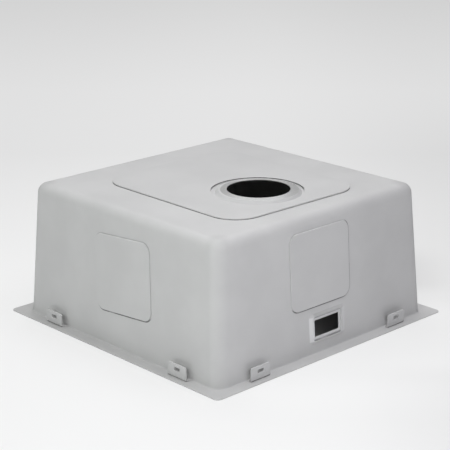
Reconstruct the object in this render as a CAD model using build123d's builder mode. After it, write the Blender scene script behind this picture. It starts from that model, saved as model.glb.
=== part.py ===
"""Single-bowl kitchen sink, pressed from one steel sheet, standing upside down on its rim.

All sizes are in millimetres. The origin is the centre of the square rim, on the face that the rim
stands on. +Z points up, away from the rim and out of the drain. -Y is the rear wall, which has the
overflow window, and -X is the left wall.
"""

from build123d import *
from math import atan, cos, sin, tan
import os

# Rim and bowl
rim_width = 450.0
rim_depth = 450.0
rim_ledge = 18.5
rim_corner = 7.5
sheet = 1.2
bowl_height = 198.0
wall_inset = 11.8
corner_radius = 17.0
bottom_radius = 15.0
rim_bend = 2.0

# Drain: a raised seat for a basket strainer, with the hole in its middle
drain_y = -71.0
drain_radius = 45.0
seat_radius = 57.0
seat_edge_rise = 4.4
seat_rise = 5.5
seat_flank = 4.6
seat_foot_radius = 2.0
seat_edge_radius = 0.8

# Overflow: a window in the rear wall, on a flat ledge inside a pressed bead
overflow_width = 48.0
overflow_height = 24.0
overflow_corner = 1.5
overflow_level = 36.6
ledge_side = 3.4
ledge_top = 4.9
ledge_corner = 3.0
bead_rise = 1.8
bead_crest = 2.0
bead_side_slope = 6.5
bead_top_slope = 2.5

# Sound-deadening pads, glued on. Levels are heights above the rim. The bottom pad is cut out round the
# drain's seat with a clearance, and sits a little forward of it
bottom_pad_width = 247.4
bottom_pad_depth = 284.2
bottom_pad_y = -13.1
bottom_pad_turn = -0.8
bottom_pad_corner = 42.0
bottom_pad_thickness = 2.4
cutout_clearance = 4.4
cutout_shift = 2.3
side_pad_width = 115.0
side_pad_height = 108.8
side_pad_corner = 14.0
side_pad_thickness = 1.5
side_pad_level = 115.0
rear_pad_x = -10.1
rear_pad_level = 123.2
left_pad_y = -10.9
left_pad_level = 107.3
left_pad_tilt = 4.5
pad_edge_radius = 0.5

# Clip lugs, bent from strip and welded to the rim. Insets run from the rim's end to a lug's middle
lug_sheet = 1.5
lug_width = 35.0
lug_height = 19.8
lug_corner = 2.5
lug_bend = 2.2
lug_gap = 7.4
foot_depth = 5.2
slot_width = 11.0
slot_height = 5.2
slot_corner = 1.0
slot_level = 12.3
rear_left_lug_inset = 86.8
rear_right_lug_inset = 90.2
left_rear_lug_inset = 88.7
left_front_lug_inset = 93.7
hidden_lug_inset = 89.0

# Walls, by the level direction that each one faces
rear = Vector(0, -1, 0)
right = Vector(1, 0, 0)
front = Vector(0, 1, 0)
left = Vector(-1, 0, 0)

# Walls lean inwards as they rise from the rim
foot_reach_x = rim_width / 2 - rim_ledge
foot_reach_y = rim_depth / 2 - rim_ledge
lean = atan(wall_inset / bowl_height)
wall_run = sheet / cos(lean)


def along(wall):
    """Level direction that runs to the right along a wall, as seen from outside."""
    return Vector(0, 0, 1).cross(wall)


def wall_foot(wall):
    """Middle of a wall's foot, where its outer face would meet the floor."""
    return Vector(wall.X * foot_reach_x, wall.Y * foot_reach_y, 0)


def wall_face(wall, distance, level):
    """Outer face of a wall at a place: x runs along it, y climbs it, and z points out of it."""
    normal = wall * cos(lean) + Vector(0, 0, 1) * sin(lean)
    foot = Plane(wall_foot(wall), x_dir=along(wall), z_dir=normal)
    return Plane(foot * Location((distance, level / cos(lean), 0)))


def level_face(part, height):
    """The level face of a part that is nearest to a height."""
    level = part.faces().filter_by(Plane.XY)
    return level.sort_by(lambda face: abs(face.center().Z - height))[0]


def bowl_section(height, thickness):
    """Outline of the bowl at a height, moved in from the outer face by a thickness."""
    moved_in = wall_inset * height / bowl_height + thickness
    width = 2 * (foot_reach_x - moved_in)
    depth = 2 * (foot_reach_y - moved_in)
    return RectangleRounded(width, depth, corner_radius - thickness)


# The seat slopes gently up to the hole, and its flank drops to the bowl's bottom
flank_slope = atan(seat_edge_rise / seat_flank)
seat_foot = seat_radius + seat_flank
hollow_foot = seat_foot + sheet / tan(flank_slope) - sheet / sin(flank_slope)
hollow_edge = hollow_foot - seat_edge_rise / tan(flank_slope)
drain_plane = Plane((0, drain_y, bowl_height), x_dir=(1, 0, 0), z_dir=(0, -1, 0))
drain_axis = Axis((0, drain_y, bowl_height), (0, 0, 1))

overflow_face = wall_face(rear, 0, overflow_level)
ledge_width = overflow_width + 2 * ledge_side
ledge_height = overflow_height + 2 * ledge_top


def seat_section(foot, edge, thickness):
    """Half section through the drain's seat, moved down from its top face by a thickness."""
    with BuildLine() as outline:
        Polyline(
            (0, -thickness - sheet),
            (foot, -thickness - sheet),
            (foot, -thickness),
            (edge, seat_edge_rise - thickness),
            (drain_radius, seat_rise - thickness),
            (0, seat_rise - thickness),
            close=True,
        )
    return make_face(outline.edges())


def overflow_bead(face, thickness):
    """Ring that rises round the ledge, with its inner flank moved out by a thickness."""
    crest_corner = ledge_corner + bead_crest
    crest_width = ledge_width + 2 * bead_crest
    crest_height = ledge_height + 2 * bead_crest
    outer_width = crest_width + 2 * bead_side_slope
    outer_height = crest_height + 2 * bead_top_slope
    with BuildPart(mode=Mode.PRIVATE) as ring:
        with BuildSketch(face):
            RectangleRounded(outer_width, outer_height, crest_corner + bead_top_slope)
        with BuildSketch(face.offset(bead_rise)):
            RectangleRounded(crest_width, crest_height, crest_corner)
        loft(ruled=True)
        with BuildSketch(face):
            hollow_width = ledge_width + 2 * thickness
            RectangleRounded(hollow_width, ledge_height + 2 * thickness, ledge_corner + thickness)
        extrude(amount=bead_rise, mode=Mode.SUBTRACT)
    return ring.part


# The bowl, its rim, the drain's seat and the overflow's bead are one pressed sheet
with BuildPart() as bowl:
    with BuildSketch(Plane.XY):
        bowl_section(0, 0)
    with BuildSketch(Plane.XY.offset(bowl_height)):
        bowl_section(bowl_height, 0)
    loft(ruled=True)
    fillet(bowl.faces().sort_by(Axis.Z)[-1].edges(), bottom_radius)

    # Flat rim round the mouth, bent out of the walls
    with BuildSketch(Plane.XY):
        RectangleRounded(rim_width, rim_depth, rim_corner)
    extrude(amount=sheet)
    fillet(level_face(bowl, sheet).inner_wires()[0].edges(), rim_bend)

    # Raised seat round the drain
    with BuildSketch(drain_plane):
        seat = seat_section(seat_foot, seat_radius, 0)
        fillet(seat.vertices().sort_by_distance((seat_radius, seat_edge_rise))[0], seat_edge_radius)
    revolve(axis=drain_axis)
    fillet(level_face(bowl, bowl_height).inner_wires()[0].edges(), seat_foot_radius)

    # Bead round the overflow
    add(overflow_bead(overflow_face, 0))

    # Inside of the bowl, hollow under the seat and behind the bead
    with BuildPart(mode=Mode.PRIVATE) as inside:
        with BuildSketch(Plane.XY):
            bowl_section(0, wall_run)
        with BuildSketch(Plane.XY.offset(bowl_height - sheet)):
            bowl_section(bowl_height - sheet, wall_run)
        loft(ruled=True)
        fillet(inside.faces().sort_by(Axis.Z)[-1].edges(), bottom_radius - sheet)
        with BuildSketch(drain_plane):
            seat_section(hollow_foot, hollow_edge, sheet)
        revolve(axis=drain_axis)
        add(overflow_bead(overflow_face.offset(-sheet), sheet))
    add(inside.part, mode=Mode.SUBTRACT)
    fillet(level_face(bowl, 0).inner_wires()[0].edges(), rim_bend + sheet)
    inner_bottom = level_face(bowl, bowl_height - sheet)
    fillet(inner_bottom.inner_wires()[0].edges(), seat_foot_radius + sheet)

    # Drain hole and overflow window
    with BuildSketch(Plane.XY.offset(bowl_height)):
        with Locations((0, drain_y)):
            Circle(drain_radius)
    extrude(amount=2 * seat_rise, mode=Mode.SUBTRACT)
    with BuildSketch(overflow_face):
        RectangleRounded(overflow_width, overflow_height, overflow_corner)
    extrude(amount=2 * sheet, both=True, mode=Mode.SUBTRACT)
bowl.part.label = "bowl"

# Large pad on the bowl's bottom, cut out round the drain's seat
with BuildPart() as bottom_pad:
    with BuildSketch(Plane.XY.offset(bowl_height)):
        with Locations((0, bottom_pad_y)):
            RectangleRounded(
                bottom_pad_width, bottom_pad_depth, bottom_pad_corner, rotation=bottom_pad_turn
            )
        with Locations((0, drain_y + cutout_shift)):
            Circle(seat_foot + cutout_clearance, mode=Mode.SUBTRACT)
    extrude(amount=bottom_pad_thickness)
    fillet(bottom_pad.faces().sort_by(Axis.Z)[-1].edges(), pad_edge_radius)
bottom_pad.part.label = "bottom_pad"

os.makedirs("parts", exist_ok=True)
export_step(bowl.part, "parts/bowl.step")
export_step(bottom_pad.part, "parts/bottom_pad.step")

# One pad on each wall: name, wall, distance along it, level and tilt
side_pads = (
    ("rear_pad", rear, rear_pad_x, rear_pad_level, 0),
    ("left_pad", left, -left_pad_y, left_pad_level, left_pad_tilt),
    ("front_pad", front, 0, side_pad_level, 0),
    ("right_pad", right, 0, side_pad_level, 0),
)
for name, wall, distance, level, tilt in side_pads:
    pad_face = Plane(wall_face(wall, distance, level) * Rotation(0, 0, tilt))
    outward = Axis(pad_face.origin, pad_face.z_dir)
    with BuildPart() as side_pad:
        with BuildSketch(pad_face):
            RectangleRounded(side_pad_width, side_pad_height, side_pad_corner)
        extrude(amount=side_pad_thickness)
        fillet(side_pad.faces().sort_by(outward)[-1].edges(), pad_edge_radius)
    side_pad.part.label = name
    export_step(side_pad.part, f"parts/{name}.step")

# Two lugs on each side of the rim: name, wall and distance along it
half_width = rim_width / 2
half_depth = rim_depth / 2
lugs = (
    ("rear_left_lug", rear, rear_left_lug_inset - half_width),
    ("rear_right_lug", rear, half_width - rear_right_lug_inset),
    ("left_rear_lug", left, half_depth - left_rear_lug_inset),
    ("left_front_lug", left, left_front_lug_inset - half_depth),
    ("front_left_lug", front, half_width - hidden_lug_inset),
    ("front_right_lug", front, hidden_lug_inset - half_width),
    ("right_rear_lug", right, hidden_lug_inset - half_depth),
    ("right_front_lug", right, half_depth - hidden_lug_inset),
)
for name, wall, distance in lugs:
    corner = wall_foot(wall) + along(wall) * distance
    corner += wall * (lug_gap + lug_sheet) + Vector(0, 0, sheet)
    end_plane = Plane(corner, x_dir=-wall, z_dir=along(wall))
    plate_plane = Plane(corner, x_dir=along(wall), z_dir=wall)
    with BuildPart() as lug:
        # Bent strip: its end shows the plate standing up and the foot running to the wall
        with BuildSketch(end_plane):
            with BuildLine():
                Polyline(
                    (0, 0),
                    (foot_depth, 0),
                    (foot_depth, lug_sheet),
                    (lug_sheet, lug_sheet),
                    (lug_sheet, lug_height),
                    (0, lug_height),
                    close=True,
                )
            strip = make_face()
            outer_bend = strip.vertices().sort_by_distance((0, 0))[0]
            inner_bend = strip.vertices().sort_by_distance((lug_sheet, lug_sheet))[0]
            fillet(outer_bend, lug_bend)
            fillet(inner_bend, lug_bend - lug_sheet)
        extrude(amount=lug_width / 2, both=True)

        # Front outline: rounded upper corners, and the slot
        with BuildSketch(plate_plane):
            with Locations((0, lug_height / 2)):
                plate = Rectangle(lug_width, lug_height)
            fillet(plate.vertices().group_by(Axis.Y)[-1], lug_corner)
            with Locations((0, slot_level)):
                RectangleRounded(slot_width, slot_height, slot_corner, mode=Mode.SUBTRACT)
        extrude(amount=-foot_depth, mode=Mode.INTERSECT)
    lug.part.label = name
    export_step(lug.part, f"parts/{name}.step")
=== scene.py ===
"""Looks of a kitchen sink that stands upside down on its rim, in metres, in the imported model's frame.

A matt sprayed coat covers the outside, the pads and the lugs. The inside and the rim's show face are
bare brushed steel, and the drain's seat was covered from most of the spray.
"""

import math

import bpy
import numpy as np
from mathutils import Matrix, Vector


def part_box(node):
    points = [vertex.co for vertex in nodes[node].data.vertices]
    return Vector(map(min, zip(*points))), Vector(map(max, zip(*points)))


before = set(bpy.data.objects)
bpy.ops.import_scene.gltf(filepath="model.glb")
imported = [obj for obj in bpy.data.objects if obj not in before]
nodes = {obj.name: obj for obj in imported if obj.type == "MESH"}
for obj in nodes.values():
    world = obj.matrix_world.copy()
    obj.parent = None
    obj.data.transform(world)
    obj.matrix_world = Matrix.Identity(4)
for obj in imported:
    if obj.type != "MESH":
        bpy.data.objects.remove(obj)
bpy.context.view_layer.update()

# Sizes of the sink that the finishes follow
MM = 0.001
bowl_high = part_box("bowl")[1]
rim_half = bowl_high.x
sink_top = bowl_high.z
sheet = 1.2 * MM
seat_rise = 5.5 * MM
bottom_level = sink_top - seat_rise
rim_ledge = 18.5 * MM
wall_foot_reach = rim_half - rim_ledge
wall_inset = 11.8 * MM
wall_lean = math.atan(wall_inset / bottom_level)
ledge_half = (27.4 * MM, 16.9 * MM)
ledge_corner = 3.0 * MM
ledge_level = 36.6 * MM
side_pad_half = (57.5 * MM, 54.4 * MM)
side_pad_corner = 14.0 * MM
cutout_place = (0.0, -68.7 * MM)
cutout_radius = 66.0 * MM
lug_names = tuple(sorted(name for name in nodes if name.endswith("_lug")))

# Photograph's camera
image_width = 450
focal_px = 1435.05
camera_place = Vector((-1358.1, -1449.0, 772.3)) * MM
camera_yaw = math.radians(43.175)
camera_pitch = math.radians(17.832)
camera_roll = math.radians(-0.435)

# The sink's level diagonals: from the rear left corner to the front right one, and across that
deep_diagonal = Vector((1, 1, 0)).normalized()
cross_diagonal = Vector((1, -1, 0)).normalized()

# Colours as written, in linear light
coat_colour = (0.600, 0.597, 0.594, 1.0)
coat_shadow_colour = (0.565, 0.562, 0.560, 1.0)
# Pale colour of rubbed edges, and of painted highlights
rub_and_highlight_colour = (0.76, 0.76, 0.76, 1.0)
# Dark colour that the coat is mixed towards: painted shade and shadow, and the darker places on the rim and
# the bottom pad
darkening_colour = (0.09, 0.09, 0.09, 1.0)
steel_colour = (0.60, 0.60, 0.595, 1.0)
# Painted reflection on the drain's seat: its pale middle, and painted shade at its sides
seat_painted_highlight_colour = (0.58, 0.58, 0.575, 1.0)
seat_painted_shade_colour = (0.42, 0.42, 0.415, 1.0)
floor_colour = (0.90, 0.90, 0.905, 1.0)
floor_seen_colour = (0.25, 0.25, 0.25, 1.0)
mouth_colour = (0.42, 0.42, 0.42, 1.0)


class Face:
    """A flat face of the sink, by its middle, the level direction along it, and the direction up it."""

    def __init__(self, middle, along, up):
        self.middle = middle
        self.along = along
        self.up = up


def wall_face(wall, distance, level, tilt=0.0):
    """Place on a leaning wall, by the distance along it, the level above the rim and the tilt in degrees."""
    normal = wall * math.cos(wall_lean) + Vector((0, 0, math.sin(wall_lean)))
    along = Vector((0, 0, 1)).cross(wall)
    up = normal.cross(along)
    middle = wall * wall_foot_reach + along * distance + up * (level / math.cos(wall_lean))
    turn = math.radians(tilt)
    tilted_along = along * math.cos(turn) + up * math.sin(turn)
    tilted_up = up * math.cos(turn) - along * math.sin(turn)
    return Face(middle, tilted_along, tilted_up)


# Walls, by the level direction that each one faces, and the overflow's place on the rear one
rear = Vector((0, -1, 0))
right = Vector((1, 0, 0))
front = Vector((0, 1, 0))
left = Vector((-1, 0, 0))
overflow_face = wall_face(rear, 0.0, ledge_level)

# Painted shadow in the narrow gaps along an outline, by its side: strength and width in millimetres
shadow_sides = ("Lower", "Right", "Upper", "Left")
ledge_shadows = ((0.6, 0.5), (0.1, 0.4), (0.7, 0.4), (0.0, 0.4))
rear_shadows = ((0.9, 2.0), (0.75, 2.3), (0.2, 0.9), (0.1, 0.8))
left_shadows = ((0.95, 2.3), (0.2, 0.9), (0.35, 1.2), (0.1, 1.4))
hidden_shadows = ((0.8, 1.8), (0.6, 1.5), (0.2, 1.0), (0.4, 1.5))

# Pads on the walls, their places and the painted shadow in the gaps along them
side_pads = (
    ("rear_pad", wall_face(rear, -10.1 * MM, 123.2 * MM), rear_shadows),
    ("left_pad", wall_face(left, 10.9 * MM, 107.3 * MM, 4.5), left_shadows),
    ("front_pad", wall_face(front, 0.0, 115.0 * MM), hidden_shadows),
    ("right_pad", wall_face(right, 0.0, 115.0 * MM), hidden_shadows),
)

# Level within the bottom's bends. Above it the sheet's outside faces up, and below it up or away from
# the sink's axis
bend_level = bottom_level - 10.0 * MM

# Disc that covered the drain's seat while the coat was sprayed, a little off the drain's middle, and
# the distances to both sides over which the seat's painted reflection gives way to painted shade
cover_place = (1.0 * MM, -72.0 * MM)
cover_radius = 55.6 * MM
cover_blur = 0.4 * MM
seat_painted_shade_reach = (20.0 * MM, 52.0 * MM)

# Rubbed, darker and painted places: how strong each one is, and the distances over which it fades. The rim's
# edge is rubbed and the rim is darker to the left, a painted highlight lies on the overflow's ledge, and
# painted shade lies over the bead, on the bottom's corners and on the wall behind the lugs
rim_rub = 0.35
rim_rub_reach = 1.2 * MM
rim_dark = 0.11
rim_dark_levels = (1.3 * MM, 2.5 * MM)
rim_dark_places = (-210.0 * MM, 0.0)
ledge_highlight = 0.5
ledge_highlight_margin = 1.0 * MM
over_ledge_shade = 0.2
over_ledge_levels = (1.0 * MM, 4.5 * MM)
over_ledge_places = (-24.0 * MM, 30.0 * MM)
corner_shade = 0.13
corner_shade_place = (181.0 * MM, 181.0 * MM, 197.0 * MM)
corner_shade_reach = (3.0 * MM, 20.0 * MM)
lug_shadow = 0.28
lug_shadow_reach = (12.0 * MM, 17.0 * MM)
lug_shadow_levels = (10.0 * MM, 14.5 * MM)

# Painted highlights on the bead's flanks beside the overflow: strength, and places along the wall
flank_highlights = (
    (0.9, (-33.5 * MM, -24.5 * MM)),
    (0.5, (31.0 * MM, 35.0 * MM)),
)

# Edges of the pads and the lugs, how strong each mark is and where it lies: a painted highlight on the side
# pads' upper edges, painted shade low on their cut edges, darker bands on the bottom pad, rubbed top edges
# on the lugs, and painted shadow under the lugs' bends
pad_top_highlight = 0.8
pad_top_highlight_reach = 2.0 * MM
side_pad_shade_height = (0.6 * MM, 0.9 * MM)
bottom_pad_dark_height = (0.7 * MM, 1.1 * MM)
bottom_pad_dark_places = (-120.0 * MM, 0.0)
bottom_pad_dark = (0.95, 0.65)
cutout_edge_depth = 1.0 * MM
cutout_dark_height = (1.5 * MM, 2.5 * MM)
cutout_dark_places = (0.0, 15.0 * MM)
lug_rub = 0.3
lug_rub_reach = 1.5 * MM
under_bend_shadow = 0.95
under_bend_height = (1.0 * MM, 1.7 * MM)

# How rough each surface is, how deep its fine relief is, and how its streaks change the steel's shade
coat_rough = (0.62, 0.70)
pad_rough = (0.66, 0.74)
lug_rough = (0.5, 0.6)
steel_rough = (0.30, 0.38)
seat_rough = 0.55
coat_relief = 0.05 * MM
pad_relief = 0.06 * MM
lug_relief = 0.04 * MM
streak_relief = 0.15
streak_shades = (0.86, 1.04)

# How much of the seat's metal the thin spray hides
seat_metal_hidden = 0.7


# Nodes that the finishes are built from

def start_group(name, inputs, outputs):
    """An empty node group with named sockets: inputs are (name, kind, default), outputs (name, kind)."""
    tree = bpy.data.node_groups.new(name, "ShaderNodeTree")
    for label, kind, default in inputs:
        socket = tree.interface.new_socket(label, in_out="INPUT", socket_type=kind)
        socket.default_value = default
    for label, kind in outputs:
        tree.interface.new_socket(label, in_out="OUTPUT", socket_type=kind)
    entry = tree.nodes.new("NodeGroupInput")
    leave = tree.nodes.new("NodeGroupOutput")
    return tree, entry.outputs, leave.inputs


def plug(tree, socket, value):
    """Feeds a socket with another socket, or sets it to a plain value."""
    if isinstance(value, bpy.types.NodeSocket):
        tree.links.new(value, socket)
    elif value is not None:
        socket.default_value = value


def calc(tree, operation, first, second=None, clamp=False):
    """One Math node."""
    node = tree.nodes.new("ShaderNodeMath")
    node.operation = operation
    node.use_clamp = clamp
    plug(tree, node.inputs[0], first)
    plug(tree, node.inputs[1], second)
    return node.outputs[0]


def product(tree, first, *others):
    """Values multiplied together."""
    result = first
    for value in others:
        result = calc(tree, "MULTIPLY", result, value)
    return result


def vector_calc(tree, operation, first, second=None, result="Vector"):
    """One Vector Math node."""
    node = tree.nodes.new("ShaderNodeVectorMath")
    node.operation = operation
    plug(tree, node.inputs[0], first)
    plug(tree, node.inputs[1], second)
    return node.outputs[result]


def measure(tree, operation, first, second):
    """One Vector Math node that gives a plain value, such as a distance or a dot product."""
    return vector_calc(tree, operation, first, second, "Value")


def scale_colour(tree, colour, factor):
    """A colour made darker or brighter by a factor."""
    node = tree.nodes.new("ShaderNodeVectorMath")
    node.operation = "SCALE"
    tree.links.new(colour, node.inputs[0])
    tree.links.new(factor, node.inputs["Scale"])
    return node.outputs["Vector"]


def split(tree, vector):
    """The three parts of a vector."""
    node = tree.nodes.new("ShaderNodeSeparateXYZ")
    plug(tree, node.inputs[0], vector)
    return node.outputs


def ramp(tree, value, low, high, low_out=0.0, high_out=1.0, smooth=True):
    """A value that goes from one output to the other as the input goes from low to high."""
    node = tree.nodes.new("ShaderNodeMapRange")
    node.interpolation_type = "SMOOTHSTEP" if smooth else "LINEAR"
    for socket, given in zip(node.inputs, (value, low, high, low_out, high_out)):
        plug(tree, socket, given)
    return node.outputs[0]


def rise_and_fall(tree, value, rise, fall):
    """Goes from 0 to 1 over the first range of a value, and back to 0 over the second."""
    return product(tree, ramp(tree, value, *rise), ramp(tree, value, *fall, 1.0, 0.0))


def band_between(tree, value, limits, edge):
    """1 while a value lies between two limits, with soft edges of a given width outside them."""
    low, high = limits
    return rise_and_fall(tree, value, (low - edge, low), (high, high + edge))


def noise(tree, vector, scale, detail=2.0, roughness=0.5):
    """One Noise node, in units of 1/m."""
    node = tree.nodes.new("ShaderNodeTexNoise")
    plug(tree, node.inputs["Vector"], vector)
    plug(tree, node.inputs["Scale"], scale)
    plug(tree, node.inputs["Detail"], detail)
    plug(tree, node.inputs["Roughness"], roughness)
    return node.outputs["Fac"]


def mix(tree, kind, factor, first, second):
    """One Mix node, which finds its sockets by name once its kind is set."""
    node = tree.nodes.new("ShaderNodeMix")
    node.data_type = kind
    plug(tree, node.inputs["Factor"], factor)
    plug(tree, node.inputs["A"], first)
    plug(tree, node.inputs["B"], second)
    return node.outputs["Result"]


def mix_colour(tree, factor, first, second):
    """A colour between two, by a factor."""
    return mix(tree, "RGBA", factor, first, second)


def mix_value(tree, factor, first, second):
    """A value between two, by a factor."""
    return mix(tree, "FLOAT", factor, first, second)


def square_distance(tree, position):
    """Level distance from the sink's axis, along whichever of x and y is larger."""
    x, y = split(tree, vector_calc(tree, "ABSOLUTE", position))[:2]
    return calc(tree, "MAXIMUM", x, y)


def distance_from_axis(tree, position, place):
    """Level distance from an upright axis at a place."""
    squares = []
    for value, middle in zip(split(tree, position), place):
        shift = calc(tree, "SUBTRACT", value, middle)
        squares.append(calc(tree, "POWER", shift, 2.0))
    return calc(tree, "SQRT", calc(tree, "ADD", *squares))


# Node groups of the finishes

def make_spray_grain():
    """Sprayed coat: Grain is the fine orange peel, Cloud the uneven passes of the gun."""
    tree, given, out = start_group(
        "spray_grain",
        (
            ("Position", "NodeSocketVector", (0, 0, 0)),
            ("Grain Scale", "NodeSocketFloat", 900.0),
            ("Cloud Scale", "NodeSocketFloat", 14.0),
        ),
        (("Grain", "NodeSocketFloat"), ("Cloud", "NodeSocketFloat")),
    )
    fine = noise(tree, given["Position"], given["Grain Scale"], 2.0, 0.6)
    coarse = noise(tree, given["Position"], product(tree, given["Grain Scale"], 0.3), 1.0)
    tree.links.new(mix_value(tree, 0.45, fine, coarse), out["Grain"])
    cloud = noise(tree, given["Position"], given["Cloud Scale"], 3.0, 0.55)
    tree.links.new(ramp(tree, cloud, 0.3, 0.7), out["Cloud"])
    return tree


def make_brushed_streaks():
    """Bare steel: streaks that run along one direction, and a slow change of sheen."""
    tree, given, out = start_group(
        "brushed_streaks",
        (
            ("Position", "NodeSocketVector", (0, 0, 0)),
            ("Stretch", "NodeSocketVector", (1, 1, 1)),
        ),
        (("Streak", "NodeSocketFloat"), ("Sheen", "NodeSocketFloat")),
    )
    pulled = vector_calc(tree, "MULTIPLY", given["Position"], given["Stretch"])
    tree.links.new(noise(tree, pulled, 60.0, 4.0, 0.7), out["Streak"])
    tree.links.new(noise(tree, given["Position"], 9.0, 2.0, 0.5), out["Sheen"])
    return tree


def make_edge_rub_and_highlight():
    """Worn line or painted highlight near an edge: 1 at a distance of 0, broken up by noise, and 0 past the
    reach.
    """
    tree, given, out = start_group(
        "edge_rub_and_highlight",
        (
            ("Position", "NodeSocketVector", (0, 0, 0)),
            ("Distance", "NodeSocketFloat", 0.0),
            ("Reach", "NodeSocketFloat", 1.0 * MM),
            ("Patchiness", "NodeSocketFloat", 0.5),
        ),
        (("Mark", "NodeSocketFloat"),),
    )
    near = ramp(tree, given["Distance"], 0.0, given["Reach"], 1.0, 0.0)
    patch = ramp(tree, noise(tree, given["Position"], 70.0, 3.0, 0.6), 0.35, 0.65)
    kept = product(tree, given["Patchiness"], calc(tree, "SUBTRACT", 1.0, patch))
    mark = calc(tree, "MULTIPLY", near, calc(tree, "SUBTRACT", 1.0, kept), clamp=True)
    tree.links.new(mark, out["Mark"])
    return tree


def make_pad_darkening():
    """Darker places of a pad: their amount, made a little uneven by noise."""
    tree, given, out = start_group(
        "pad_darkening",
        (
            ("Position", "NodeSocketVector", (0, 0, 0)),
            ("Amount", "NodeSocketFloat", 0.0),
        ),
        (("Dark", "NodeSocketFloat"),),
    )
    uneven = ramp(tree, noise(tree, given["Position"], 60.0, 3.0, 0.6), 0.3, 0.6, 0.75, 1.0)
    tree.links.new(product(tree, given["Amount"], uneven), out["Dark"])
    return tree


def make_face_outline():
    """Place against a rounded rectangle on a flat face.

    Distance is how far a point lies outside the outline, Along and Up are its places from the middle,
    and Out is how far it stands off the face.
    """
    tree, given, out = start_group(
        "face_outline",
        (
            ("Position", "NodeSocketVector", (0, 0, 0)),
            ("Middle", "NodeSocketVector", (0, 0, 0)),
            ("Along", "NodeSocketVector", (1, 0, 0)),
            ("Up", "NodeSocketVector", (0, 0, 1)),
            ("Half Width", "NodeSocketFloat", 60 * MM),
            ("Half Height", "NodeSocketFloat", 54 * MM),
            ("Corner", "NodeSocketFloat", 15 * MM),
        ),
        (
            ("Distance", "NodeSocketFloat"),
            ("Along", "NodeSocketFloat"),
            ("Up", "NodeSocketFloat"),
            ("Out", "NodeSocketFloat"),
        ),
    )
    shift = vector_calc(tree, "SUBTRACT", given["Position"], given["Middle"])
    normal = vector_calc(tree, "CROSS_PRODUCT", given["Along"], given["Up"])
    along = measure(tree, "DOT_PRODUCT", shift, given["Along"])
    up = measure(tree, "DOT_PRODUCT", shift, given["Up"])
    past = []
    for place, half in ((along, given["Half Width"]), (up, given["Half Height"])):
        straight = calc(tree, "SUBTRACT", half, given["Corner"])
        past.append(calc(tree, "SUBTRACT", calc(tree, "ABSOLUTE", place), straight))
    squares = [calc(tree, "POWER", calc(tree, "MAXIMUM", value, 0.0), 2.0) for value in past]
    outer = calc(tree, "SQRT", calc(tree, "ADD", *squares))
    inner = calc(tree, "MINIMUM", calc(tree, "MAXIMUM", *past), 0.0)
    distance = calc(tree, "SUBTRACT", calc(tree, "ADD", outer, inner), given["Corner"])
    tree.links.new(distance, out["Distance"])
    tree.links.new(along, out["Along"])
    tree.links.new(up, out["Up"])
    tree.links.new(measure(tree, "DOT_PRODUCT", shift, normal), out["Out"])
    return tree


def make_edge_shadow():
    """Painted shadow in the gap just outside an outline, with a strength and a width of its own on each
    side.
    """
    sides = []
    for side in shadow_sides:
        sides.append((side + " Strength", "NodeSocketFloat", 0.5))
        sides.append((side + " Width", "NodeSocketFloat", 1.2 * MM))
    tree, given, out = start_group(
        "edge_shadow",
        (
            ("Position", "NodeSocketVector", (0, 0, 0)),
            ("Distance", "NodeSocketFloat", 0.0),
            ("Along", "NodeSocketFloat", 0.0),
            ("Up", "NodeSocketFloat", 0.0),
            ("Out", "NodeSocketFloat", 0.0),
            ("Half Width", "NodeSocketFloat", 60 * MM),
            ("Half Height", "NodeSocketFloat", 54 * MM),
            *sides,
        ),
        (("Shadow", "NodeSocketFloat"),),
    )
    across = calc(tree, "DIVIDE", given["Along"], given["Half Width"])
    height = calc(tree, "DIVIDE", given["Up"], given["Half Height"])

    # Each side's painted shadow fades in where a point comes near that side
    shadow = 0.0
    for side, place, sign in zip(shadow_sides, (height, across, height, across), (-1, 1, 1, -1)):
        near_side = ramp(tree, place, 0.85 * sign, 0.97 * sign)
        width = given[side + " Width"]
        band = ramp(tree, given["Distance"], product(tree, width, 0.7), width, 1.0, 0.0)
        shadow = calc(tree, "MAXIMUM", shadow, product(tree, near_side, band, given[side + " Strength"]))

    outside_sheet = calc(tree, "GREATER_THAN", given["Out"], -0.5 * sheet)
    uneven = ramp(tree, noise(tree, given["Position"], 55.0, 3.0, 0.6), 0.3, 0.6, 0.6, 1.0)
    tree.links.new(product(tree, shadow, outside_sheet, uneven), out["Shadow"])
    return tree


spray_grain = make_spray_grain()
brushed_streaks = make_brushed_streaks()
edge_rub_and_highlight = make_edge_rub_and_highlight()
pad_darkening = make_pad_darkening()
face_outline = make_face_outline()
edge_shadow = make_edge_shadow()


def use_group(tree, group, **given):
    """One use of a node group, with its inputs fed by name."""
    node = tree.nodes.new("ShaderNodeGroup")
    node.node_tree = group
    for label, value in given.items():
        plug(tree, node.inputs[label.replace("_", " ")], value)
    return node.outputs


def outline_on(tree, position, face, half, corner):
    """Place of a point against an outline on a face of the sink."""
    return use_group(
        tree, face_outline, Position=position, Middle=face.middle, Along=face.along, Up=face.up,
        Half_Width=half[0], Half_Height=half[1], Corner=corner,
    )


def shadow_round(tree, position, outline, half, shadows):
    """Painted shadow in the gap round an outline: shadows are (strength, width in mm) in the order of
    shadow_sides.
    """
    sides = {}
    for side, (strength, width) in zip(shadow_sides, shadows):
        sides[side + " Strength"] = strength
        sides[side + " Width"] = width * MM
    return use_group(
        tree, edge_shadow, Position=position, Distance=outline["Distance"], Along=outline["Along"],
        Up=outline["Up"], Out=outline["Out"], Half_Width=half[0], Half_Height=half[1], **sides,
    )["Shadow"]


# Parts of a finish

def start_material(name, **plain):
    """A material with one Principled shader, whose plain sockets are set here, and its object position."""
    material = bpy.data.materials.new(name)
    material.use_nodes = True
    tree = material.node_tree
    shader = tree.nodes["Principled BSDF"]
    for label, value in plain.items():
        shader.inputs[label.replace("_", " ")].default_value = value
    position = tree.nodes.new("ShaderNodeTexCoord").outputs["Object"]
    return material, tree, shader, position


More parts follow.
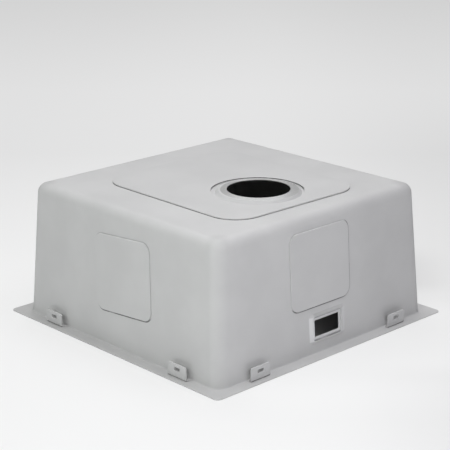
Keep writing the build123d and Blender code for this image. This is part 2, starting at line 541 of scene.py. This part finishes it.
def surface_normal(tree):
    """The surface's own normal."""
    return tree.nodes.new("ShaderNodeNewGeometry").outputs["Normal"]


def bump(tree, shader, height, distance):
    """Bump that feeds the shader's normal."""
    node = tree.nodes.new("ShaderNodeBump")
    node.inputs["Distance"].default_value = distance
    plug(tree, node.inputs["Height"], height)
    tree.links.new(node.outputs["Normal"], shader.inputs["Normal"])


def coat_shade(tree, cloud):
    """The coat's colour, which changes slowly with the passes of the gun."""
    return mix_colour(tree, cloud, coat_shadow_colour, coat_colour)


def rub_or_highlight_edge(tree, position, coat, distance, reach, strength, colour):
    """Rubs a coat towards a colour along an edge that lies at a distance, for worn edges and for painted
    highlights.
    """
    mark = use_group(tree, edge_rub_and_highlight, Position=position, Distance=distance, Reach=reach)["Mark"]
    return mix_colour(tree, product(tree, mark, strength), coat, colour)


def darken_coat(tree, coat, amount):
    """Darkens a coat by an amount: painted shade and shadow at most places, and darker places on the rim and
    the bottom pad.
    """
    return mix_colour(tree, amount, coat, darkening_colour)


# Finish of the bowl

def sheet_outside(tree, position):
    """1 on the sheet's outside: it faces up, or away from the sink's axis below the bend level."""
    normal = surface_normal(tree)
    level = vector_calc(tree, "MULTIPLY", position, (1.0, 1.0, 0.0))
    away = measure(tree, "DOT_PRODUCT", normal, vector_calc(tree, "NORMALIZE", level))
    faces_up = calc(tree, "GREATER_THAN", split(tree, normal)[2], 0.0)
    faces_away = calc(tree, "GREATER_THAN", away, 0.5)
    below_bend = calc(tree, "LESS_THAN", split(tree, position)[2], bend_level)
    return calc(tree, "MAXIMUM", faces_up, product(tree, faces_away, below_bend))


def covered_seat(tree, position):
    """1 on the drain's seat, where a disc kept most of the spray off."""
    from_middle = distance_from_axis(tree, position, cover_place)
    under_disc = ramp(tree, from_middle, cover_radius - cover_blur, cover_radius + cover_blur, 1.0, 0.0)
    above_bend = calc(tree, "GREATER_THAN", split(tree, position)[2], bend_level)
    return product(tree, under_disc, above_bend)


def seat_painted_reflection(tree, position):
    """The seat's colour: a painted reflection, pale along the sink's deep diagonal, with painted shade to
    both sides of it.
    """
    cover_aside = Vector((*cover_place, 0.0)).dot(cross_diagonal)
    aside = measure(tree, "DOT_PRODUCT", position, cross_diagonal)
    aside = calc(tree, "ABSOLUTE", calc(tree, "SUBTRACT", aside, cover_aside))
    return mix_colour(tree, ramp(tree, aside, *seat_painted_shade_reach), seat_painted_highlight_colour, seat_painted_shade_colour)


def rim_spray(tree, position, coat):
    """The rim's coat: rubbed along its outer edge, and darker, the more so to the left."""
    to_edge = calc(tree, "SUBTRACT", rim_half, square_distance(tree, position))
    coat = rub_or_highlight_edge(tree, position, coat, to_edge, rim_rub_reach, rim_rub, steel_colour)
    x, _, z = split(tree, position)
    on_rim = ramp(tree, z, *rim_dark_levels, 1.0, 0.0)
    to_left = ramp(tree, x, *rim_dark_places, rim_dark, 0.0)
    return darken_coat(tree, coat, product(tree, on_rim, to_left))


def ledge_painted_light(tree, coat, ledge, on_ledge, outside_sheet):
    """The coat round the overflow: painted highlights on the ledge and the bead's flanks, and painted shade
    over the bead.
    """
    half_height = ledge_half[1]
    beside = (ledge_highlight_margin - half_height, half_height - ledge_highlight_margin)
    beside_ledge = band_between(tree, ledge["Up"], beside, edge=3.0 * MM)
    pale = product(tree, on_ledge, ledge_highlight)
    for strength, places in flank_highlights:
        flank = band_between(tree, ledge["Along"], places, edge=2.2 * MM)
        pale = calc(tree, "MAXIMUM", pale, product(tree, flank, beside_ledge, strength))
    coat = mix_colour(tree, product(tree, pale, outside_sheet), coat, rub_and_highlight_colour)

    over = tuple(half_height + level for level in over_ledge_levels)
    over_bead = band_between(tree, ledge["Up"], over, edge=1.0 * MM)
    over_window = band_between(tree, ledge["Along"], over_ledge_places, edge=4.0 * MM)
    return darken_coat(tree, coat, product(tree, over_bead, over_window, outside_sheet, over_ledge_shade))


def shade_corners(tree, position, coat):
    """Painted shade on the bottom's four corners, which dims the highlight on their bends."""
    folded = vector_calc(tree, "ABSOLUTE", position)
    from_corner = measure(tree, "DISTANCE", folded, corner_shade_place)
    return darken_coat(tree, coat, ramp(tree, from_corner, *corner_shade_reach, corner_shade, 0.0))


def shadow_behind_lugs(tree, position, coat):
    """Painted shadow on the wall behind each lug, which also darkens what is seen through the slots."""
    at_level = band_between(tree, split(tree, position)[2], lug_shadow_levels, edge=4.0 * MM)
    for name in lug_names:
        lug_low, lug_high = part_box(name)
        lug_middle = ((lug_low.x + lug_high.x) / 2, (lug_low.y + lug_high.y) / 2)
        from_lug = distance_from_axis(tree, position, lug_middle)
        behind = ramp(tree, from_lug, *lug_shadow_reach, lug_shadow, 0.0)
        coat = darken_coat(tree, coat, product(tree, behind, at_level))
    return coat


def gap_shadows(tree, position, ledge):
    """Painted shadow in the gaps along the pads and at the foot of the overflow's bead."""
    shadow = shadow_round(tree, position, ledge, ledge_half, ledge_shadows)
    for _, face, shadows in side_pads:
        outline = outline_on(tree, position, face, side_pad_half, side_pad_corner)
        shadow = calc(tree, "MAXIMUM", shadow, shadow_round(tree, position, outline, side_pad_half, shadows))
    return shadow


def make_bowl_finish():
    """Coat on the outside of the sheet, brushed steel inside it, and thin spray on the drain's seat."""
    material, tree, shader, position = start_material("bowl_finish", IOR=1.45)

    # The overflow's ledge and the flanks round it belong to the outside too
    ledge = outline_on(tree, position, overflow_face, ledge_half, ledge_corner)
    outside_sheet = calc(tree, "GREATER_THAN", ledge["Out"], -0.5 * sheet)
    on_ledge = product(tree, calc(tree, "LESS_THAN", ledge["Distance"], 0.5 * sheet), outside_sheet)
    outside = calc(tree, "MAXIMUM", sheet_outside(tree, position), on_ledge)
    on_seat = product(tree, covered_seat(tree, position), outside)
    coated = product(tree, outside, calc(tree, "SUBTRACT", 1.0, on_seat))

    grain = use_group(tree, spray_grain, Position=position)
    # Painted highlights and shade round the overflow, painted shade on the bottom's corners, and painted
    # shadow behind the lugs and along the pads and the ledge
    coat = rim_spray(tree, position, coat_shade(tree, grain["Cloud"]))
    coat = ledge_painted_light(tree, coat, ledge, on_ledge, outside_sheet)
    coat = shade_corners(tree, position, coat)
    coat = shadow_behind_lugs(tree, position, coat)
    coat = darken_coat(tree, coat, gap_shadows(tree, position, ledge))

    streaks = use_group(tree, brushed_streaks, Position=position, Stretch=(1.0, 22.0, 22.0))
    # The seat's steel carries the painted reflection and shade
    steel = mix_colour(tree, on_seat, steel_colour, seat_painted_reflection(tree, position))
    steel = scale_colour(tree, steel, ramp(tree, streaks["Streak"], 0.3, 0.7, *streak_shades))
    tree.links.new(mix_colour(tree, coated, steel, coat), shader.inputs["Base Color"])

    metal = calc(tree, "SUBTRACT", 1.0, coated)
    metal = calc(tree, "SUBTRACT", metal, product(tree, on_seat, seat_metal_hidden), clamp=True)
    tree.links.new(metal, shader.inputs["Metallic"])
    bare_rough = ramp(tree, streaks["Sheen"], 0.3, 0.7, *steel_rough)
    bare_rough = mix_value(tree, on_seat, bare_rough, seat_rough)
    sprayed_rough = ramp(tree, grain["Cloud"], 0.0, 1.0, *coat_rough)
    tree.links.new(mix_value(tree, coated, bare_rough, sprayed_rough), shader.inputs["Roughness"])
    relief = mix_value(tree, coated, product(tree, streaks["Streak"], streak_relief), grain["Grain"])
    bump(tree, shader, relief, coat_relief)
    return material


# Finishes of the pads and the lugs

def start_pad(name):
    """A pad's material under the same coat, and the colour of that coat before any of it is darkened."""
    material, tree, shader, position = start_material(name + "_finish", IOR=1.45)
    grain = use_group(tree, spray_grain, Position=position, Cloud_Scale=11.0)
    tree.links.new(ramp(tree, grain["Cloud"], 0.0, 1.0, *pad_rough), shader.inputs["Roughness"])
    bump(tree, shader, grain["Grain"], pad_relief)
    return material, tree, shader, position, coat_shade(tree, grain["Cloud"])


def finish_pad(tree, shader, position, coat, amount):
    """Darkens a pad by an amount, and colours the pad."""
    dark = use_group(tree, pad_darkening, Position=position, Amount=amount)["Dark"]
    tree.links.new(darken_coat(tree, coat, dark), shader.inputs["Base Color"])


def make_side_pad_finish(name, face, shadows):
    """Pad on a wall: a painted highlight along its upper edge, and painted shade low on its cut edge, as
    dark as the painted shadow beside it.
    """
    material, tree, shader, position, coat = start_pad(name)
    outline = outline_on(tree, position, face, side_pad_half, side_pad_corner)
    # Painted highlight along the pad's upper edge
    to_upper = calc(tree, "SUBTRACT", side_pad_half[1], outline["Up"])
    coat = rub_or_highlight_edge(tree, position, coat, to_upper, pad_top_highlight_reach, pad_top_highlight, rub_and_highlight_colour)
    # Painted shade low on the cut edge, as strong as the painted shadow beside it
    low = ramp(tree, outline["Out"], *side_pad_shade_height, 1.0, 0.0)
    beside_shadow = shadow_round(tree, position, outline, side_pad_half, shadows)
    finish_pad(tree, shader, position, coat, product(tree, low, beside_shadow))
    return material


def make_bottom_pad_finish():
    """Pad on the bottom: darker low on its outer edge, and high on the edge round the seat."""
    material, tree, shader, position, coat = start_pad("bottom_pad")
    x, _, z = split(tree, position)
    height = calc(tree, "SUBTRACT", z, bottom_level)
    low = ramp(tree, height, *bottom_pad_dark_height, 1.0, 0.0)
    low = product(tree, low, ramp(tree, x, *bottom_pad_dark_places, *bottom_pad_dark))

    # The cut-out's edge is darker on the half that lies towards the front right corner
    from_cutout = distance_from_axis(tree, position, cutout_place)
    at_cutout = calc(tree, "LESS_THAN", from_cutout, cutout_radius + cutout_edge_depth)
    cutout_deep = Vector((*cutout_place, 0.0)).dot(deep_diagonal)
    deep = calc(tree, "SUBTRACT", measure(tree, "DOT_PRODUCT", position, deep_diagonal), cutout_deep)
    high = band_between(tree, height, cutout_dark_height, edge=0.2 * MM)
    high = product(tree, high, ramp(tree, deep, *cutout_dark_places))
    finish_pad(tree, shader, position, coat, mix_value(tree, at_cutout, low, high))
    return material


def make_lug_finish():
    """Lugs under a thinner coat that is rubbed along the plate's top edge."""
    material, tree, shader, position = start_material("lug_finish", IOR=1.45)
    grain = use_group(tree, spray_grain, Position=position, Cloud_Scale=60.0)
    x, y, z = split(tree, position)
    to_top = calc(tree, "SUBTRACT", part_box(lug_names[0])[1].z, z)
    coat = coat_shade(tree, grain["Cloud"])
    coat = rub_or_highlight_edge(tree, position, coat, to_top, lug_rub_reach, lug_rub, rub_and_highlight_colour)

    # Painted shadow in the crease under the bend at the foot, weaker on the faces at the plate's ends
    under_bend = ramp(tree, calc(tree, "SUBTRACT", z, sheet), *under_bend_height, under_bend_shadow, 0.0)
    normal_x, normal_y = split(tree, vector_calc(tree, "ABSOLUTE", surface_normal(tree)))[:2]
    on_rear_or_front = calc(tree, "GREATER_THAN", calc(tree, "ABSOLUTE", y), calc(tree, "ABSOLUTE", x))
    faces_end = mix_value(tree, on_rear_or_front, normal_y, normal_x)
    coat = darken_coat(tree, coat, product(tree, under_bend, ramp(tree, faces_end, 0.3, 0.6, 1.0, 0.25)))
    tree.links.new(coat, shader.inputs["Base Color"])
    tree.links.new(ramp(tree, grain["Cloud"], 0.0, 1.0, *lug_rough), shader.inputs["Roughness"])
    bump(tree, shader, grain["Grain"], lug_relief)
    return material


def dress(node_names, material):
    """Gives CAD nodes a finish."""
    for name in node_names:
        mesh = nodes[name].data
        mesh.materials.clear()
        mesh.materials.append(material)


dress(("bowl",), make_bowl_finish())
dress(("bottom_pad",), make_bottom_pad_finish())
for pad_name, pad_face, pad_shadows in side_pads:
    dress((pad_name,), make_side_pad_finish(pad_name, pad_face, pad_shadows))
dress(lug_names, make_lug_finish())


# Floor

floor_reach = 7.0
floor_gap = 0.2 * MM
mouth_edge = (195.0 * MM, 215.0 * MM)

# How bright the open floor is in view. Depth runs along the deep diagonal, and aside along the one
# across it. The start gives two depths and the glow at each, and a step gives the depths over which
# the glow changes further, and by how much
glow_start = ((-0.45, 0.2), (0.639, 0.653))
glow_steps = (
    ((0.2, 0.9), -0.071),
    ((0.9, 1.5), 0.034),
    ((1.5, 2.9), 0.006),
)

# The glow is a little weaker on the right, the more so near by, and a touch weaker on the left
right_aside = (0.0, 0.5)
right_weaker = ((0.6, 1.5), (0.084, 0.031))
left_aside = (-0.5, 0.0)
left_weaker = 0.014

# Paler and darker places of the floor: change, then where it rises and falls with depth and with aside.
# The first is painted light along the near right side of the rim, the second a painted shadow of the sink
# beside its wall on the right, and the third a darker place at the near right
floor_changes = (
    (0.032, (-0.385, -0.26), (0.0, 0.065), (0.0, 0.07), (0.5, 0.9)),
    (-0.095, (0.06, 0.13), (0.195, 0.32), (0.0, 0.1), (0.27, 0.38)),
    (-0.072, (-0.9, -0.5), (-0.245, -0.18), (0.09, 0.45), (0.5, 0.9)),
)


def mesh_from_grid(name, points):
    """A mesh from a grid of points, one quad for each cell of the grid."""
    rows, columns = points.shape[:2]
    index = np.arange(rows * columns).reshape(rows, columns)
    quads = np.stack([index[:-1, :-1], index[1:, :-1], index[1:, 1:], index[:-1, 1:]], -1).reshape(-1, 4)
    mesh = bpy.data.meshes.new(name)
    mesh.from_pydata(points.reshape(-1, 3).tolist(), [], quads.tolist())
    mesh.update()
    piece = bpy.data.objects.new(name, mesh)
    bpy.context.scene.collection.objects.link(piece)
    return piece


def floor_glow(tree, position):
    """How bright the open floor is in view: the photograph's backdrop, place by place."""
    depth = measure(tree, "DOT_PRODUCT", position, deep_diagonal)
    aside = measure(tree, "DOT_PRODUCT", position, cross_diagonal)
    glow = ramp(tree, depth, *glow_start[0], *glow_start[1], smooth=False)
    for places, change in glow_steps:
        glow = calc(tree, "ADD", glow, ramp(tree, depth, *places, 0.0, change, smooth=False))
    weaker = ramp(tree, depth, *right_weaker[0], *right_weaker[1])
    glow = calc(tree, "SUBTRACT", glow, product(tree, ramp(tree, aside, *right_aside), weaker))
    for change, depth_rise, depth_fall, aside_rise, aside_fall in floor_changes:
        depth_part = rise_and_fall(tree, depth, depth_rise, depth_fall)
        aside_part = rise_and_fall(tree, aside, aside_rise, aside_fall)
        glow = calc(tree, "ADD", glow, product(tree, depth_part, aside_part, change))
    return calc(tree, "SUBTRACT", glow, ramp(tree, aside, *left_aside, left_weaker, 0.0))


def make_floor_finish():
    """White paper: dark inside the sink's mouth, and as pale in view as the photograph's backdrop."""
    material, tree, shader, position = start_material("floor_paper", Roughness=0.9, IOR=1.3)
    open_floor = ramp(tree, square_distance(tree, position), *mouth_edge)
    paper = mix_colour(tree, open_floor, mouth_colour, floor_colour)
    tree.links.new(paper, shader.inputs["Base Color"])

    shade = tree.nodes.new("ShaderNodeBsdfDiffuse")
    plug(tree, shade.inputs["Color"], mix_colour(tree, open_floor, mouth_colour, floor_seen_colour))
    shine = tree.nodes.new("ShaderNodeEmission")
    tree.links.new(product(tree, floor_glow(tree, position), open_floor), shine.inputs["Strength"])
    seen = tree.nodes.new("ShaderNodeAddShader")
    tree.links.new(shade.outputs[0], seen.inputs[0])
    tree.links.new(shine.outputs[0], seen.inputs[1])
    path = tree.nodes.new("ShaderNodeLightPath").outputs
    in_view = calc(tree, "MAXIMUM", path["Is Camera Ray"], path["Is Glossy Ray"])
    in_view = calc(tree, "MAXIMUM", in_view, path["Is Transmission Ray"])
    both = tree.nodes.new("ShaderNodeMixShader")
    tree.links.new(in_view, both.inputs[0])
    tree.links.new(shader.outputs[0], both.inputs[1])
    tree.links.new(seen.outputs[0], both.inputs[2])
    tree.links.new(both.outputs[0], tree.nodes["Material Output"].inputs["Surface"])
    return material


def make_floor():
    """Flat square sheet: x and y run evenly from -reach to reach, z is just under the rim."""
    span = np.linspace(-floor_reach, floor_reach, 3)
    y, x = np.meshgrid(span, span)
    floor = mesh_from_grid("floor", np.stack([x, y, np.full_like(x, -floor_gap)], -1))
    floor.data.materials.append(make_floor_finish())


make_floor()


# Light

world_strength = 0.0
world = bpy.data.worlds.new("studio")
bpy.context.scene.world = world
world.use_nodes = True
world.node_tree.nodes["Background"].inputs["Strength"].default_value = world_strength

# Point that every lamp looks at
lamp_aim = Vector((0, 0, 0.1))

# Names, places and sizes of the lamps in metres, their power in watts, and their tint
softboxes = (
    ("overhead", (0.1, -0.1, 2.6), 2.4, 28.1, (0.99, 0.99, 1.01)),
    ("right_overhead", (0.9, -0.9, 2.2), 1.2, 9.1, (0.98, 0.98, 1.04)),
    ("far_overhead", (0.5, 0.9, 2.0), 1.2, 9.4, (1.0, 1.0, 1.0)),
    ("far_left", (-1.5, 0.8, 1.0), 1.0, 9.2, (0.97, 1.01, 0.99)),
    ("near_high", (-0.55, -0.6, 0.9), 0.5, 2.25, (1.0, 1.0, 1.0)),
    ("left_low", (-0.75, -0.4, 0.45), 0.3, 1.04, (0.97, 1.01, 0.99)),
    ("back_right", (1.6, 1.4, 2.0), 1.6, 8.8, (1.0, 1.0, 1.0)),
    ("rear_low", (-0.15, -0.8, 0.35), 0.3, 0.66, (0.98, 0.98, 1.04)),
    ("rear_middle", (-0.35, -0.75, 0.45), 0.3, 0.23, (0.98, 0.98, 1.04)),
)


def softbox(name, place, size, power, tint):
    """A square lamp at a place, turned to the point that all the lamps look at."""
    lamp = bpy.data.lights.new(name, "AREA")
    lamp.shape = "SQUARE"
    lamp.size = size
    lamp.energy = power
    lamp.color = tint
    holder = bpy.data.objects.new(name, lamp)
    holder.location = place
    holder.rotation_euler = (lamp_aim - Vector(place)).to_track_quat("-Z", "Y").to_euler()
    bpy.context.scene.collection.objects.link(holder)


for lamp_values in softboxes:
    softbox(*lamp_values)


# Camera

def make_camera():
    """Camera that looks along yaw (from +Y to +X) and down by pitch, turned by roll about its view."""
    forward = Vector((
        math.sin(camera_yaw) * math.cos(camera_pitch),
        math.cos(camera_yaw) * math.cos(camera_pitch),
        -math.sin(camera_pitch),
    ))
    side = Vector((math.cos(camera_yaw), -math.sin(camera_yaw), 0.0))
    up = side.cross(forward)
    rolled_side = side * math.cos(camera_roll) + up * math.sin(camera_roll)
    rolled_up = up * math.cos(camera_roll) - side * math.sin(camera_roll)
    turn = Matrix((rolled_side, rolled_up, -forward)).transposed()
    data = bpy.data.cameras.new("camera")
    data.sensor_width = 36.0
    data.lens = data.sensor_width * focal_px / image_width
    data.clip_end = 50.0
    camera = bpy.data.objects.new("camera", data)
    camera.matrix_world = Matrix.Translation(camera_place) @ turn.to_4x4()
    bpy.context.scene.collection.objects.link(camera)
    bpy.context.scene.camera = camera


make_camera()
bpy.context.scene.view_settings.view_transform = "Standard"
